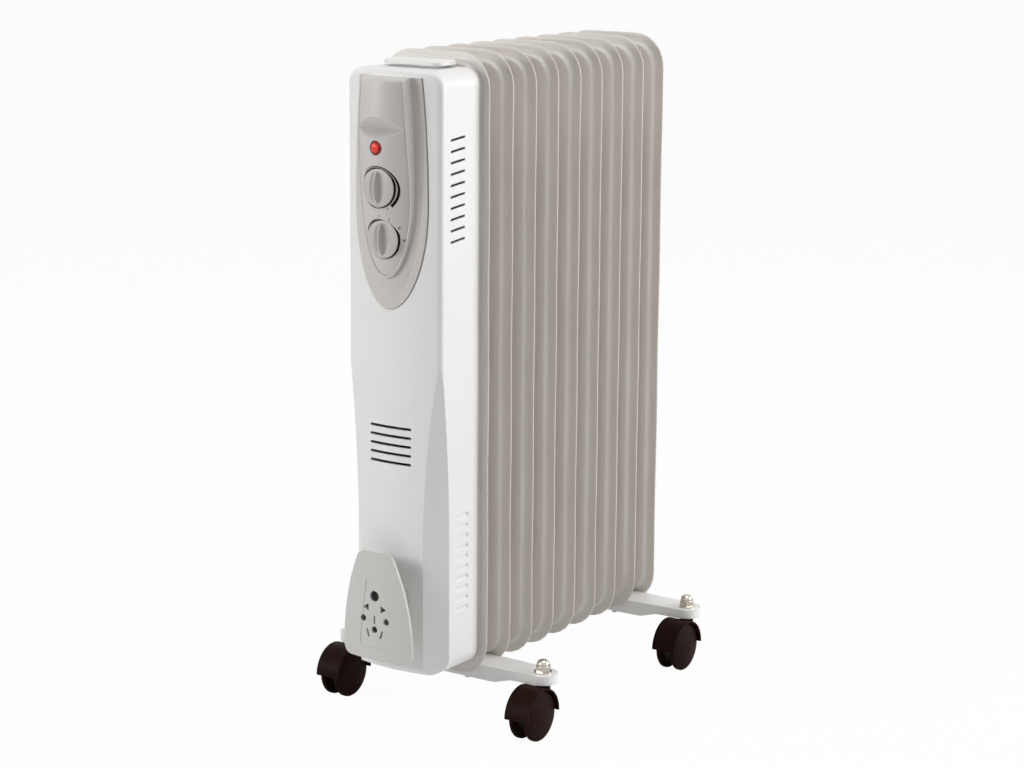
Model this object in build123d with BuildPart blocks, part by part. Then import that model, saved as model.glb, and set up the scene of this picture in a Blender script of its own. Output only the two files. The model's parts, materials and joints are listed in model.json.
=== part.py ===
from build123d import *
from math import atan2, degrees, sqrt
import os

# Oil filled radiator heater, in millimetres. X runs across it, +Y to its rear, +Z up from the floor.
# The origin is on the floor, in the middle of the whole object.

# Fins
fin_count = 9
fin_pitch = 37.0
fin_width = 120.0
fin_height = 580.0
fin_corner = 32.0
fin_bottom = 50.0
rim_width = 10.0
rim_thickness = 1.6
channel_height = 4.7
channel_taper = 50.0
web_width = 7.0
web_offset = 17.0
web_end_gap = 34.0
web_point = 6.0

# Collectors that join the fins
collector_diameter = 44.0
collector_bore = 32.0
collector_inset = 55.0
collector_blind_wall = 1.5

# Housing
housing_width = 104.0
housing_depth = 64.5
housing_bow = 8.0
housing_bottom = 64.0
housing_top = 617.0
housing_wall = 2.5
housing_corner = 15.0
housing_edge_round = 6.0
facet_depth = 9.0
facet_lift = 116.0
facet_height = 185.0

# Slots of the housing
front_slot_count = 5
front_slot_length = 46.0
front_slot_width = 2.6
front_slot_pitch = 8.2
front_slot_lift = 214.0
side_slot_count = 10
side_slot_length = 22.0
side_slot_width = 2.2
side_slot_pitch = 10.1
side_slot_drop = 105.5
side_slot_tilt = 5.5
side_slot_setback = 32.0
louvre_count = 10
louvre_length = 20.0
louvre_width = 4.4
louvre_depth = 1.5
louvre_taper = 50.0
louvre_pitch = 9.8
louvre_lift = 103.0
louvre_setback = 24.5

# Control panel: an outer shield with low wings, and a strongly convex tongue that carries the controls
panel_drop = 6.0
panel_wide_drop = 120.0
panel_half_width = 39.7
panel_top_half_width = 34.0
panel_tip_drop = 93.5
panel_edge = 1.0
panel_recess = 1.2
panel_gap = 0.9
panel_ledge = 8.0
panel_wall = 3.0
wing_rise = 6.0
wing_drop = 82.0
wing_cross_radius = 80.0
wing_long_radius = 1540.0
tongue_wide_drop = 105.0
tongue_half_width = 28.8
tongue_top_half_width = 24.2
tongue_tip_drop = 80.0
tongue_rise = 20.0
tongue_crown_drop = 57.0
tongue_cross_radius = 36.0
tongue_long_radius = 525.0
tongue_top_round = 5.0
cavity_top_drop = 62.0
cavity_bottom_drop = 176.0
scoop_drop = 51.1
scoop_depth = 10.4
scoop_upper = 11.3
scoop_lower = 8.6

# Knobs, shafts and what they turn
thermostat_drop = 103.0
power_drop = 149.5
knob_diameter = 34.4
knob_thickness = 2.6
knob_rim = 0.7
knob_undercut = 1.9
knob_dish_radius = 82.0
knob_dish_depth = 1.3
knob_grip_height = 5.8
knob_grip_length = 29.0
knob_grip_width = 12.0
knob_grip_root = 1.6
knob_gap = 0.4
knob_socket_depth = 5.0
seat_depth = 4.6
seat_margin = 1.4
seat_wall = 6.0
shaft_diameter = 6.0
shaft_clearance = 0.05
bushing_diameter = 10.0
bushing_reach = 3.0
shaft_bite = 10.0
blade_spacing = 16.0
blade_width = 6.3
blade_thickness = 0.8
blade_length = 8.0
thermostat_size = (38.0, 24.0, 34.0)
power_switch_diameter = 34.0
power_switch_depth = 22.0

# Pilot lamp
lamp_drop = 67.3
lens_diameter = 13.0
lens_rise = 1.8
lens_fit = 0.05
lens_tail = 4.0
lens_bevel = 1.6
lamp_holder_diameter = 10.0
lamp_holder_length = 16.0

# Bracket and plate behind the controls
bracket_margin = 3.5
bracket_top_drop = 25.0
bracket_height = 150.0
bracket_thickness = 1.5
bracket_setback = 11.0
boss_diameter = 9.0
boss_inset = 7.0
bracket_screw_bite = 4.0
plate_thickness = 1.5
plate_margin = 0.4
plate_corner = 12.0
tab_width = 20.0
tab_depth = 14.0
tab_offset = 28.0
screw_diameter = 4.0
screw_head_diameter = 8.0
screw_head_height = 2.4
screw_length = 7.0
screw_clearance = 0.1

# Heating element
flange_diameter = 50.0
flange_thickness = 4.0
seal_thickness = 1.5
element_diameter = 9.0
element_spacing = 15.0
element_end_gap = 12.0
terminal_diameter = 5.0
terminal_length = 16.0
flange_hole_margin = 1.0

# Electrical parts on the mounting plate
cutout_diameter = 17.0
cutout_height = 9.0
cutout_lift = 141.0
cutout_strap_length = 30.0
cutout_strap_width = 9.0
block_size = (44.0, 18.0, 20.0)
block_lift = 266.0
block_pitch = 14.0
block_hole = 6.0
gland_diameter = 15.0
gland_bore = 8.6
gland_flange_diameter = 20.0
gland_flange_height = 3.0
gland_length = 16.0
gland_setback = 30.0

# Cord tidy, with its heights above the housing's bottom
tidy_half_width = 38.5
tidy_top_half_width = 18.0
tidy_lift = 16.2
tidy_height = 101.6
tidy_wide_lift = 26.0
tidy_thickness = 3.0
tidy_bow = 5.0
tidy_standoff = 16.0
tidy_corner = 9.0
field_half_width = 18.0
field_top_half_width = 9.0
field_lift = 28.0
field_height = 66.0
field_corner = 5.0
field_depth = 0.3
hub_width = 40.0
hub_height = 58.0
hub_corner = 12.0
hub_lift = 57.0
hub_wall = 2.5
plug_hole_lift = 76.8
plug_hole_radius = 5.0
pin_hole_radius = 3.1
pin_hole_offset = 13.0
pin_hole_lift = 54.3
earth_hole_lift = 45.0
slit_length = 8.0
slit_width = 1.8
slit_offset = 7.6
slit_lift = 41.2
slit_tilt = 18.0
arrow_offset = 8.8
arrow_lift = 65.4
arrow_radius = 4.0

# Grip plate on top of the housing
grip_width = 64.0
grip_depth = 33.0
grip_thickness = 4.0
grip_gap = 2.4
grip_lip = 8.0
grip_corner = 9.0
grip_setback = 2.0
grip_bevel = 1.4

# Feet
foot_top = 60.0
foot_sheet = 2.0
foot_flange = 14.0
foot_end_flange = 9.0
foot_width = 33.0
foot_end_width = 28.0
foot_taper_start = 55.0
foot_hole_margin = 0.2
foot_arch_start = 66.0
foot_arch_end = 84.0
castor_track = 221.0

# U-bolts and wing nuts
u_bolt_diameter = 5.0
u_bolt_gap = 0.3
u_bolt_tail = 19.0
wing_hub_diameter = 10.0
wing_hub_height = 7.0
wing_span = 30.0
wing_height = 11.0
wing_thickness = 2.4
wing_root_top = 2.0
wing_tip_drop = 3.0

# Castors
wheel_diameter = 48.0
wheel_width = 7.0
wheel_dome = 1.8
wheel_round = 1.2
wheel_bevel = 4.0
castor_width = 26.0
castor_trail = 17.8
hood_gap = 0.6
hood_wall = 1.6
web_play = 1.0
hub_play = 0.3
axle_diameter = 6.0
axle_hub_diameter = 13.0
axle_clearance = 0.05
axle_end_gap = 0.4
stem_diameter = 8.0
stem_collar_diameter = 16.0
stem_collar_height = 3.0
spigot_diameter = 6.0
spigot_length = 15.0
spigot_clearance = 0.05
spigot_end_gap = 0.5
stem_boss_diameter = 14.0
stem_boss_gap = 0.4
washer_diameter = 17.0
washer_height = 1.4
cap_nut_across = 13.0
cap_nut_hex_height = 5.0
cap_nut_dome_height = 6.0
cap_nut_dome_round = 4.5
cap_nut_step = 0.6
stem_top_gap = 2.0

# Places worked out from the sizes above
channel_half = rim_thickness / 2 + channel_height
fin_mid_z = fin_bottom + fin_height / 2
lower_collector_z = fin_bottom + collector_inset
upper_collector_z = fin_bottom + fin_height - collector_inset
panel_top = housing_top - panel_drop
panel_wide_z = housing_top - panel_wide_drop
wing_crown_z = housing_top - wing_drop
tongue_wide_z = housing_top - tongue_wide_drop
tongue_crown_z = housing_top - tongue_crown_drop
cavity_top = housing_top - cavity_top_drop
cavity_bottom = housing_top - cavity_bottom_drop
scoop_z = housing_top - scoop_drop
thermostat_z = housing_top - thermostat_drop
power_z = housing_top - power_drop
lamp_z = housing_top - lamp_drop
bracket_top = housing_top - bracket_top_drop
bracket_bottom = bracket_top - bracket_height
bracket_width = housing_width - 2 * (housing_wall + bracket_margin)
side_slot_middle = housing_top - side_slot_drop
front_slot_middle = housing_bottom + front_slot_lift
louvre_middle = housing_bottom + louvre_lift
facet_start = housing_bottom + facet_lift
facet_end = facet_start + facet_height
cutout_z = housing_bottom + cutout_lift
block_z = housing_bottom + block_lift
tidy_bottom = housing_bottom + tidy_lift
tidy_top = tidy_bottom + tidy_height
tidy_wide_z = housing_bottom + tidy_wide_lift
field_bottom = housing_bottom + field_lift
field_top = field_bottom + field_height
hub_z = housing_bottom + hub_lift
plug_hole_z = housing_bottom + plug_hole_lift
pin_hole_z = housing_bottom + pin_hole_lift
earth_hole_z = housing_bottom + earth_hole_lift
slit_z = housing_bottom + slit_lift
arrow_z = housing_bottom + arrow_lift


def crown_drop(height):
    """How far the tongue's crown line lies behind its foremost point at a height."""
    rise = height - tongue_crown_z
    return tongue_long_radius - sqrt(tongue_long_radius**2 - rise**2)


knob_reach = knob_gap + knob_thickness + knob_grip_height
panel_reach = channel_half + housing_depth + tongue_rise
thermostat_reach = panel_reach - crown_drop(thermostat_z) - seat_depth + knob_reach
tidy_reach = channel_half + housing_depth + tidy_standoff + tidy_bow + tidy_thickness
front_reach = max(thermostat_reach, tidy_reach)
rear_reach = (fin_count - 1) * fin_pitch + channel_half
fin_1_y = (front_reach - rear_reach) / 2
housing_back_y = fin_1_y - channel_half
housing_front_y = housing_back_y - housing_depth
housing_edge_y = housing_front_y + housing_bow
panel_crown_y = housing_front_y - tongue_rise
thermostat_seat_y = panel_crown_y + crown_drop(thermostat_z) + seat_depth
power_seat_y = panel_crown_y + crown_drop(power_z) + seat_depth
bracket_y = housing_front_y + bracket_setback
plate_front_y = housing_back_y - plate_thickness
foot_ys = {"front": fin_1_y + fin_pitch / 2, "rear": fin_1_y + (fin_count - 1.5) * fin_pitch}


def front_plane(y):
    """A plane facing the front, whose sketches are in X and Z."""
    return Plane(origin=(0, y, 0), x_dir=(1, 0, 0), z_dir=(0, -1, 0))


def side_plane(x):
    """A plane facing +X, whose sketches are in Y and Z."""
    return Plane(origin=(x, 0, 0), x_dir=(0, 1, 0), z_dir=(1, 0, 0))


def save(piece, name):
    """Label a finished piece and write its file."""
    piece.part.label = name
    export_step(piece.part, f"parts/{name}.step")


os.makedirs("parts", exist_ok=True)

# One pressed fin body: a flat rim and, on both faces, three oil channels between two long webs
web_half = (upper_collector_z - lower_collector_z) / 2 - web_end_gap
with BuildPart() as pressing:
    with BuildSketch(front_plane(0)):
        with Locations((0, fin_mid_z)):
            RectangleRounded(fin_width, fin_height, fin_corner)
    extrude(amount=rim_thickness / 2, both=True)
    with BuildSketch(front_plane(0)):
        with Locations((0, fin_mid_z)):
            RectangleRounded(
                fin_width - 2 * rim_width, fin_height - 2 * rim_width, fin_corner - rim_width
            )
        with Locations((-web_offset, fin_mid_z), (web_offset, fin_mid_z)):
            Polygon(
                (0, web_half),
                (-web_width / 2, web_half - web_point),
                (-web_width / 2, web_point - web_half),
                (0, -web_half),
                (web_width / 2, web_point - web_half),
                (web_width / 2, web_half - web_point),
                align=None,
                mode=Mode.SUBTRACT,
            )
    extrude(amount=channel_half, both=True, taper=channel_taper)

# Fins, with the necks of the two collectors, which meet halfway between fins
for number in range(1, fin_count + 1):
    middle = fin_1_y + (number - 1) * fin_pitch
    is_first = number == 1
    is_last = number == fin_count
    neck_front = middle - (channel_half if is_first else fin_pitch / 2)
    neck_rear = middle + (channel_half if is_last else fin_pitch / 2)
    bore_rear = neck_rear - collector_blind_wall if is_last else neck_rear
    with BuildPart() as fin:
        with Locations((0, middle, 0)):
            add(pressing.part)
        with BuildSketch(front_plane(neck_rear)):
            with Locations((0, lower_collector_z), (0, upper_collector_z)):
                Circle(collector_diameter / 2)
        extrude(amount=neck_rear - neck_front)
        with BuildSketch(front_plane(bore_rear)):
            with Locations((0, lower_collector_z)):
                Circle(collector_bore / 2)
        extrude(amount=bore_rear - neck_front, mode=Mode.SUBTRACT)
    save(fin, f"fin_{number}")


def arc_drop(x, half, bow):
    """How far an arc that bows out over a half width lies behind its crown, off its middle by x."""
    radius = (half**2 + bow**2) / (2 * bow)
    return radius - sqrt(radius**2 - x**2)


def housing_form(inset, back_y):
    """The housing's outer form, drawn in by an inset: bowed front, round corners, lower facets."""
    half = housing_width / 2 - inset
    front_y = housing_front_y + inset
    edge_y = housing_edge_y + inset
    bottom = housing_bottom + inset
    with BuildPart() as form:
        with BuildSketch(Plane.XY.offset(bottom)):
            with BuildLine():
                ThreePointArc((-half, edge_y), (0, front_y), (half, edge_y))
                Polyline((half, edge_y), (half, back_y), (-half, back_y), (-half, edge_y))
            make_face()
        extrude(amount=housing_top - inset - bottom)
        fillet(form.edges().filter_by(Axis.Y), housing_corner - inset)
        fillet(form.faces().sort_by(Axis.Y)[0].outer_wire().edges(), housing_edge_round - inset)
        for side in (-1, 1):
            normal = Vector(side, -1, 0).normalized()
            corner = Vector(side * housing_width / 2, housing_edge_y, 0)
            origin = corner - normal * (facet_depth + inset)
            with BuildSketch(Plane(origin, x_dir=normal, z_dir=normal.cross(Vector(0, 0, 1)))):
                with BuildLine():
                    out = facet_depth + inset
                    arc = TangentArc((0, facet_start), (out, facet_end), tangent=(0, 1))
                    Polyline(arc @ 1, (housing_depth, facet_end), (housing_depth, 0), (0, 0), arc @ 0)
                make_face()
            extrude(amount=housing_width, both=True, mode=Mode.SUBTRACT)
    return form.part


def shield(y, half, top_half, wide_z, tip_drop):
    """The panel's outline on a front plane: a pointed oval below and drawn-in sides above."""
    with BuildSketch(front_plane(y)) as outline:
        with BuildLine():
            EllipticalCenterArc((0, wide_z), half, tip_drop, start_angle=180, arc_size=180)
            right = TangentArc((half, wide_z), (top_half, panel_top), tangent=(0, 1))
            left = TangentArc((-half, wide_z), (-top_half, panel_top), tangent=(0, 1))
            Line(right @ 1, left @ 1)
        make_face()
    return outline.sketch


def panel_shield(y, inset):
    """The panel's own outline, drawn in by an inset."""
    half = panel_half_width - inset
    return shield(y, half, panel_top_half_width - inset, panel_wide_z, panel_tip_drop - inset)


def tongue_shield(y, inset):
    """The tongue's outline, drawn in by an inset."""
    half = tongue_half_width - inset
    return shield(y, half, tongue_top_half_width - inset, tongue_wide_z, tongue_tip_drop - inset)


housing_outside = housing_form(0, housing_back_y)
housing_inside = housing_form(housing_wall, housing_back_y + housing_wall)
panel_seat = housing_form(panel_recess, housing_back_y + housing_wall)
panel_root_y = housing_edge_y + housing_wall
panel_front_y = panel_crown_y - panel_wall
panel_run = panel_root_y - panel_front_y
boss_x = bracket_width / 2 - boss_inset
boss_zs = (bracket_bottom + boss_inset, bracket_top - boss_inset)
boss_places = [(x, z) for x in (-boss_x, boss_x) for z in boss_zs]
boss_length = bracket_setback - arc_drop(boss_x, housing_width / 2, housing_bow) - housing_wall / 2
tab_y = plate_front_y - tab_depth / 2
screw_places = [(x, tab_y) for x in (-tab_offset, tab_offset)]
gland_y = housing_back_y - gland_setback

# Housing: one deep moulded cover with its slots, louvres, panel pocket and window, and bracket bosses
with BuildPart() as panel_pocket:
    extrude(panel_shield(panel_root_y, -panel_gap), amount=panel_run)
    add(panel_seat, mode=Mode.SUBTRACT)
with BuildPart() as housing_shell:
    add(housing_outside)
    add(housing_inside, mode=Mode.SUBTRACT)
    add(panel_pocket.part, mode=Mode.SUBTRACT)
    extrude(panel_shield(panel_root_y, panel_ledge), amount=panel_run, mode=Mode.SUBTRACT)
    with BuildSketch(front_plane(bracket_y)):
        with Locations(*boss_places):
            Circle(boss_diameter / 2)
    extrude(amount=boss_length)
    with BuildSketch(front_plane(bracket_y)):
        with Locations(*boss_places):
            Circle(screw_diameter / 2 + screw_clearance)
    extrude(amount=bracket_screw_bite, mode=Mode.SUBTRACT)
    with BuildSketch(front_plane(housing_edge_y)):
        with Locations((0, front_slot_middle)):
            with GridLocations(0, front_slot_pitch, 1, front_slot_count):
                SlotOverall(front_slot_length, front_slot_width)
    extrude(amount=housing_depth, mode=Mode.SUBTRACT)
    with BuildSketch(side_plane(0)):
        with Locations((housing_back_y - side_slot_setback, side_slot_middle)):
            with GridLocations(0, side_slot_pitch, 1, side_slot_count):
                SlotOverall(side_slot_length, side_slot_width, rotation=side_slot_tilt)
    extrude(amount=housing_width, both=True, mode=Mode.SUBTRACT)
    for side in (-1, 1):
        with BuildSketch(side_plane(side * housing_width / 2)):
            with Locations((housing_back_y - louvre_setback, louvre_middle)):
                with GridLocations(0, louvre_pitch, 1, louvre_count):
                    Rectangle(louvre_length, louvre_width)
        extrude(amount=-side * louvre_depth, taper=louvre_taper, mode=Mode.SUBTRACT)
    with BuildSketch(Plane.XY.offset(housing_bottom)):
        with Locations(*screw_places):
            Circle(screw_diameter / 2 + screw_clearance)
        with Locations((0, gland_y)):
            Circle(gland_diameter / 2 + screw_clearance)
    extrude(amount=housing_wall, mode=Mode.SUBTRACT)
save(housing_shell, "housing_shell")

# Mounting plate, welded to the first fin, with two tabs that the housing is screwed to
plate_half = housing_width / 2 - housing_wall - plate_margin
plate_bottom = housing_bottom + housing_wall + plate_margin
plate_top = housing_top - housing_wall - plate_margin
with BuildPart() as mounting_plate:
    with BuildSketch(front_plane(housing_back_y)):
        with Locations((0, (plate_bottom + plate_top) / 2)):
            RectangleRounded(2 * plate_half, plate_top - plate_bottom, plate_corner)
        with Locations((0, lower_collector_z)):
            Circle(flange_diameter / 2 + flange_hole_margin, mode=Mode.SUBTRACT)
    extrude(amount=plate_thickness)
    with BuildSketch(Plane.XY.offset(plate_bottom)):
        with Locations(*screw_places):
            Rectangle(tab_width, tab_depth)
            Circle(screw_diameter / 2 + screw_clearance, mode=Mode.SUBTRACT)
    extrude(amount=plate_thickness)
save(mounting_plate, "mounting_plate")

with BuildPart() as housing_screws:
    with BuildSketch(Plane.XY.offset(housing_bottom)):
        with Locations(*screw_places):
            Circle(screw_diameter / 2)
    extrude(amount=screw_length)
    with BuildSketch(Plane.XY.offset(housing_bottom)):
        with Locations(*screw_places):
            Circle(screw_head_diameter / 2)
    extrude(amount=-screw_head_height)
save(housing_screws, "housing_screws")

# Control panel: low wings and a convex tongue with a finger scoop, knob seats and the lamp's hole
tongue_place = Location((0, panel_crown_y + tongue_long_radius, tongue_crown_z), (0, 90, 0))
tongue_major = tongue_long_radius - tongue_cross_radius
wing_y = housing_front_y - wing_rise
wing_place = Location((0, wing_y + wing_long_radius, wing_crown_z), (0, 90, 0))
seats = [(thermostat_z, thermostat_seat_y), (power_z, power_seat_y)]
seat_radius = knob_diameter / 2 + seat_margin
lamp_y = panel_crown_y + crown_drop(lamp_z)
scoop_front_y = panel_crown_y - scoop_depth
with BuildPart() as panel_wings:
    extrude(panel_shield(panel_root_y, 0), amount=panel_run)
    with Locations(wing_place):
        Torus(wing_long_radius - wing_cross_radius, wing_cross_radius, mode=Mode.INTERSECT)
with BuildPart() as panel_tongue:
    extrude(tongue_shield(panel_root_y, 0), amount=panel_run)
    with Locations(tongue_place):
        Torus(tongue_major, tongue_cross_radius, mode=Mode.INTERSECT)
    fillet(panel_tongue.faces().sort_by(Axis.Z)[-1].edges().sort_by(Axis.Y)[0], tongue_top_round)
with BuildPart() as panel_skirt:
    extrude(panel_shield(panel_root_y, 0), amount=panel_run)
    add(housing_form(-panel_edge, housing_back_y), mode=Mode.INTERSECT)
with BuildPart() as panel_cavity:
    extrude(tongue_shield(panel_root_y, panel_wall), amount=panel_run)
    with BuildSketch(front_plane(panel_root_y)):
        with Locations((0, (cavity_top + cavity_bottom) / 2)):
            Rectangle(2 * tongue_half_width, cavity_top - cavity_bottom)
    extrude(amount=panel_run, mode=Mode.INTERSECT)
    with Locations(tongue_place):
        Torus(tongue_major, tongue_cross_radius - panel_wall, mode=Mode.INTERSECT)
with BuildPart() as scoop:
    with BuildSketch(side_plane(0)):
        with BuildLine():
            Polyline(
                (panel_crown_y + scoop_depth, scoop_z),
                (scoop_front_y, scoop_z + 2 * scoop_upper),
                (scoop_front_y, scoop_z - 2 * scoop_lower),
                close=True,
            )
        make_face()
    extrude(amount=tongue_half_width, both=True)
with BuildPart() as control_panel:
    add([panel_wings.part, panel_tongue.part, panel_skirt.part])
    add(panel_seat, mode=Mode.SUBTRACT)
    add([panel_cavity.part, scoop.part], mode=Mode.SUBTRACT)
    for seat_z, seat_y in seats:
        with BuildSketch(front_plane(seat_y)):
            with Locations((0, seat_z)):
                Circle(seat_radius)
        extrude(amount=-seat_wall)
        with BuildSketch(front_plane(seat_y)):
            with Locations((0, seat_z)):
                Circle(seat_radius)
        extrude(amount=knob_diameter, mode=Mode.SUBTRACT)
        with BuildSketch(front_plane(seat_y)):
            with Locations((0, seat_z)):
                Circle(shaft_diameter / 2 + screw_clearance)
        extrude(amount=-seat_wall, mode=Mode.SUBTRACT)
    with BuildSketch(front_plane(lamp_y + panel_wall + tongue_rise)):
        with Locations((0, lamp_z)):
            Circle(lens_diameter / 2 + lens_fit)
    extrude(amount=2 * tongue_rise, mode=Mode.SUBTRACT)
save(control_panel, "control_panel")

# Pilot lamp: a round lens pushed into the panel and the lamp's holder behind it
lens_back_y = lamp_y + panel_wall + lens_tail
with BuildPart() as pilot_lens:
    with BuildSketch(front_plane(lens_back_y)):
        with Locations((0, lamp_z)):
            Circle(lens_diameter / 2)
    extrude(amount=lens_back_y - lamp_y + lens_rise)
    chamfer(pilot_lens.faces().sort_by(Axis.Y)[0].edges(), lens_bevel)
save(pilot_lens, "pilot_lens")

with BuildPart() as pilot_lamp_holder:
    with BuildSketch(front_plane(lens_back_y)):
        with Locations((0, lamp_z)):
            Circle(lamp_holder_diameter / 2)
    extrude(amount=-lamp_holder_length)
save(pilot_lamp_holder, "pilot_lamp_holder")

# Bracket that carries the thermostat and the power switch behind the panel
bracket_back_y = bracket_y + bracket_thickness
with BuildPart() as control_bracket:
    with BuildSketch(front_plane(bracket_back_y)):
        with Locations((0, (bracket_bottom + bracket_top) / 2)):
            Rectangle(bracket_width, bracket_top - bracket_bottom)
        with Locations(*boss_places):
            Circle(screw_diameter / 2 + screw_clearance, mode=Mode.SUBTRACT)
        with Locations((0, thermostat_z), (0, power_z)):
            Circle(bushing_diameter / 2 + screw_clearance, mode=Mode.SUBTRACT)
        with Locations((0, lamp_z)):
            Circle(lamp_holder_diameter / 2 + flange_hole_margin, mode=Mode.SUBTRACT)
    extrude(amount=bracket_thickness)
save(control_bracket, "control_bracket")

with BuildPart() as bracket_screws:
    with BuildSketch(front_plane(bracket_back_y)):
        with Locations(*boss_places):
            Circle(screw_diameter / 2)
    extrude(amount=bracket_thickness + bracket_screw_bite - screw_clearance)
    with BuildSketch(front_plane(bracket_back_y)):
        with Locations(*boss_places):
            Circle(screw_head_diameter / 2)
    extrude(amount=-screw_head_height)
save(bracket_screws, "bracket_screws")

# Knob grips: a sharp lens between two spheres, whose crest is an arc over the knob's face
knob_cone = knob_thickness - knob_rim
grip_crest_radius = ((knob_grip_length / 2) ** 2 + knob_grip_height**2) / (2 * knob_grip_height)
grip_flank_depth = grip_crest_radius - knob_grip_height
grip_flank_x = (grip_crest_radius**2 - grip_flank_depth**2) / knob_grip_width - knob_grip_width / 4
grip_flank_radius = sqrt(grip_flank_x**2 + grip_crest_radius**2)
grip_flank_angle = degrees(atan2(grip_crest_radius, grip_flank_x))
grip_half_width = grip_flank_radius - grip_flank_x

# Thermostat and power switch: a body on the bracket, and a shaft that turns with its knob
for name, z, seat_y in (("thermostat", thermostat_z, thermostat_seat_y), ("power", power_z, power_seat_y)):
    is_thermostat = name == "thermostat"
    body_depth = thermostat_size[1] if is_thermostat else power_switch_depth
    body_rear_y = bracket_back_y + body_depth
    shaft_rear_y = bracket_back_y + shaft_bite
    knob_back_y = seat_y - knob_gap
    knob_face_y = knob_back_y - knob_thickness
    with BuildPart() as body:
        with BuildSketch(front_plane(bracket_back_y)):
            with Locations((0, z)):
                if is_thermostat:
                    Rectangle(thermostat_size[0], thermostat_size[2])
                else:
                    Circle(power_switch_diameter / 2)
        extrude(amount=-body_depth)
        with BuildSketch(front_plane(bracket_back_y)):
            with Locations((0, z)):
                Circle(bushing_diameter / 2)
        extrude(amount=bracket_thickness + bushing_reach)
        with BuildSketch(front_plane(shaft_rear_y + shaft_clearance)):
            with Locations((0, z)):
                Circle(shaft_diameter / 2 + shaft_clearance)
        extrude(amount=2 * housing_depth, mode=Mode.SUBTRACT)
        with BuildSketch(front_plane(body_rear_y)):
            with Locations((0, z)):
                with GridLocations(blade_spacing, 0, 2, 1):
                    Rectangle(blade_thickness, blade_width)
        extrude(amount=-blade_length)
    save(body, "thermostat_body" if is_thermostat else "power_switch")
    with BuildPart() as shaft:
        with BuildSketch(front_plane(shaft_rear_y)):
            with Locations((0, z)):
                Circle(shaft_diameter / 2)
        extrude(amount=shaft_rear_y - knob_back_y + knob_socket_depth - knob_gap)
    save(shaft, f"{name}_shaft")
    grip_axis_y = knob_face_y + grip_flank_depth
    with BuildPart() as grip:
        with BuildSketch(Plane.XY.offset(z)):
            with BuildLine():
                CenterArc((grip_flank_x, grip_axis_y), grip_flank_radius, 180, grip_flank_angle)
                CenterArc((-grip_flank_x, grip_axis_y), grip_flank_radius, 0, -grip_flank_angle)
                Line((-grip_half_width, grip_axis_y), (grip_half_width, grip_axis_y))
            make_face()
        revolve(axis=Axis((0, grip_axis_y, z), (1, 0, 0)))
        split(bisect_by=front_plane(knob_face_y + knob_grip_root), keep=Keep.TOP)
    with BuildPart() as knob:
        with BuildSketch(front_plane(knob_back_y)):
            with Locations((0, z)):
                Circle(knob_diameter / 2 - knob_undercut)
        extrude(amount=knob_cone, taper=-degrees(atan2(knob_undercut, knob_cone)))
        with BuildSketch(front_plane(knob_back_y - knob_cone)):
            with Locations((0, z)):
                Circle(knob_diameter / 2)
        extrude(amount=knob_rim)
        with Locations((0, knob_face_y + knob_dish_depth - knob_dish_radius, z)):
            Sphere(knob_dish_radius, mode=Mode.SUBTRACT)
        add(grip.part)
        with BuildSketch(front_plane(knob_back_y)):
            with Locations((0, z)):
                Circle(shaft_diameter / 2 + shaft_clearance)
        extrude(amount=knob_socket_depth, mode=Mode.SUBTRACT)
    save(knob, f"{name}_knob")

# Heating element in the lower collector: a sealed flange, a long U of tube and two terminals
flange_back_y = housing_back_y - seal_thickness
flange_front_y = flange_back_y - flange_thickness
element_rear_y = fin_1_y + (fin_count - 1) * fin_pitch - element_end_gap
with BuildPart() as element_seal:
    with BuildSketch(front_plane(housing_back_y)):
        with Locations((0, lower_collector_z)):
            Circle(flange_diameter / 2)
            Circle(collector_bore / 2, mode=Mode.SUBTRACT)
    extrude(amount=seal_thickness)
save(element_seal, "element_seal")

with BuildPart() as heating_element:
    with BuildLine(side_plane(0)) as u_tube:
        low = lower_collector_z - element_spacing / 2
        high = lower_collector_z + element_spacing / 2
        Line((flange_back_y, low), (element_rear_y, low))
        ThreePointArc(
            (element_rear_y, low),
            (element_rear_y + element_spacing / 2, lower_collector_z),
            (element_rear_y, high),
        )
        Line((element_rear_y, high), (flange_back_y, high))
    with BuildSketch(front_plane(flange_back_y)):
        with Locations((0, low)):
            Circle(element_diameter / 2)
    sweep()
    with BuildSketch(front_plane(flange_back_y)):
        with Locations((0, lower_collector_z)):
            Circle(flange_diameter / 2)
    extrude(amount=flange_thickness)
    with BuildSketch(front_plane(flange_front_y)):
        with Locations((0, low), (0, high)):
            Circle(terminal_diameter / 2)
    extrude(amount=terminal_length)
save(heating_element, "heating_element")

# Thermal cut-out, terminal block and cord gland
with BuildPart() as thermal_cutout:
    with BuildSketch(front_plane(plate_front_y)):
        with Locations((0, cutout_z)):
            Circle(cutout_diameter / 2)
    extrude(amount=cutout_height)
    with BuildSketch(front_plane(plate_front_y)):
        with Locations((0, cutout_z)):
            Rectangle(cutout_strap_length, cutout_strap_width)
    extrude(amount=plate_thickness)
    with BuildSketch(front_plane(plate_front_y - cutout_height)):
        with Locations((0, cutout_z)):
            with GridLocations(blade_spacing, 0, 2, 1):
                Rectangle(blade_thickness, blade_width)
    extrude(amount=blade_length)
save(thermal_cutout, "thermal_cutout")

with BuildPart() as terminal_block:
    with BuildSketch(front_plane(plate_front_y)):
        with Locations((0, block_z)):
            Rectangle(block_size[0], block_size[2])
    extrude(amount=block_size[1])
    with BuildSketch(front_plane(plate_front_y - block_size[1])):
        with Locations((0, block_z)):
            with GridLocations(block_pitch, 0, 3, 1):
                Circle(block_hole / 2)
    extrude(amount=-block_hole, mode=Mode.SUBTRACT)
save(terminal_block, "terminal_block")

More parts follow.
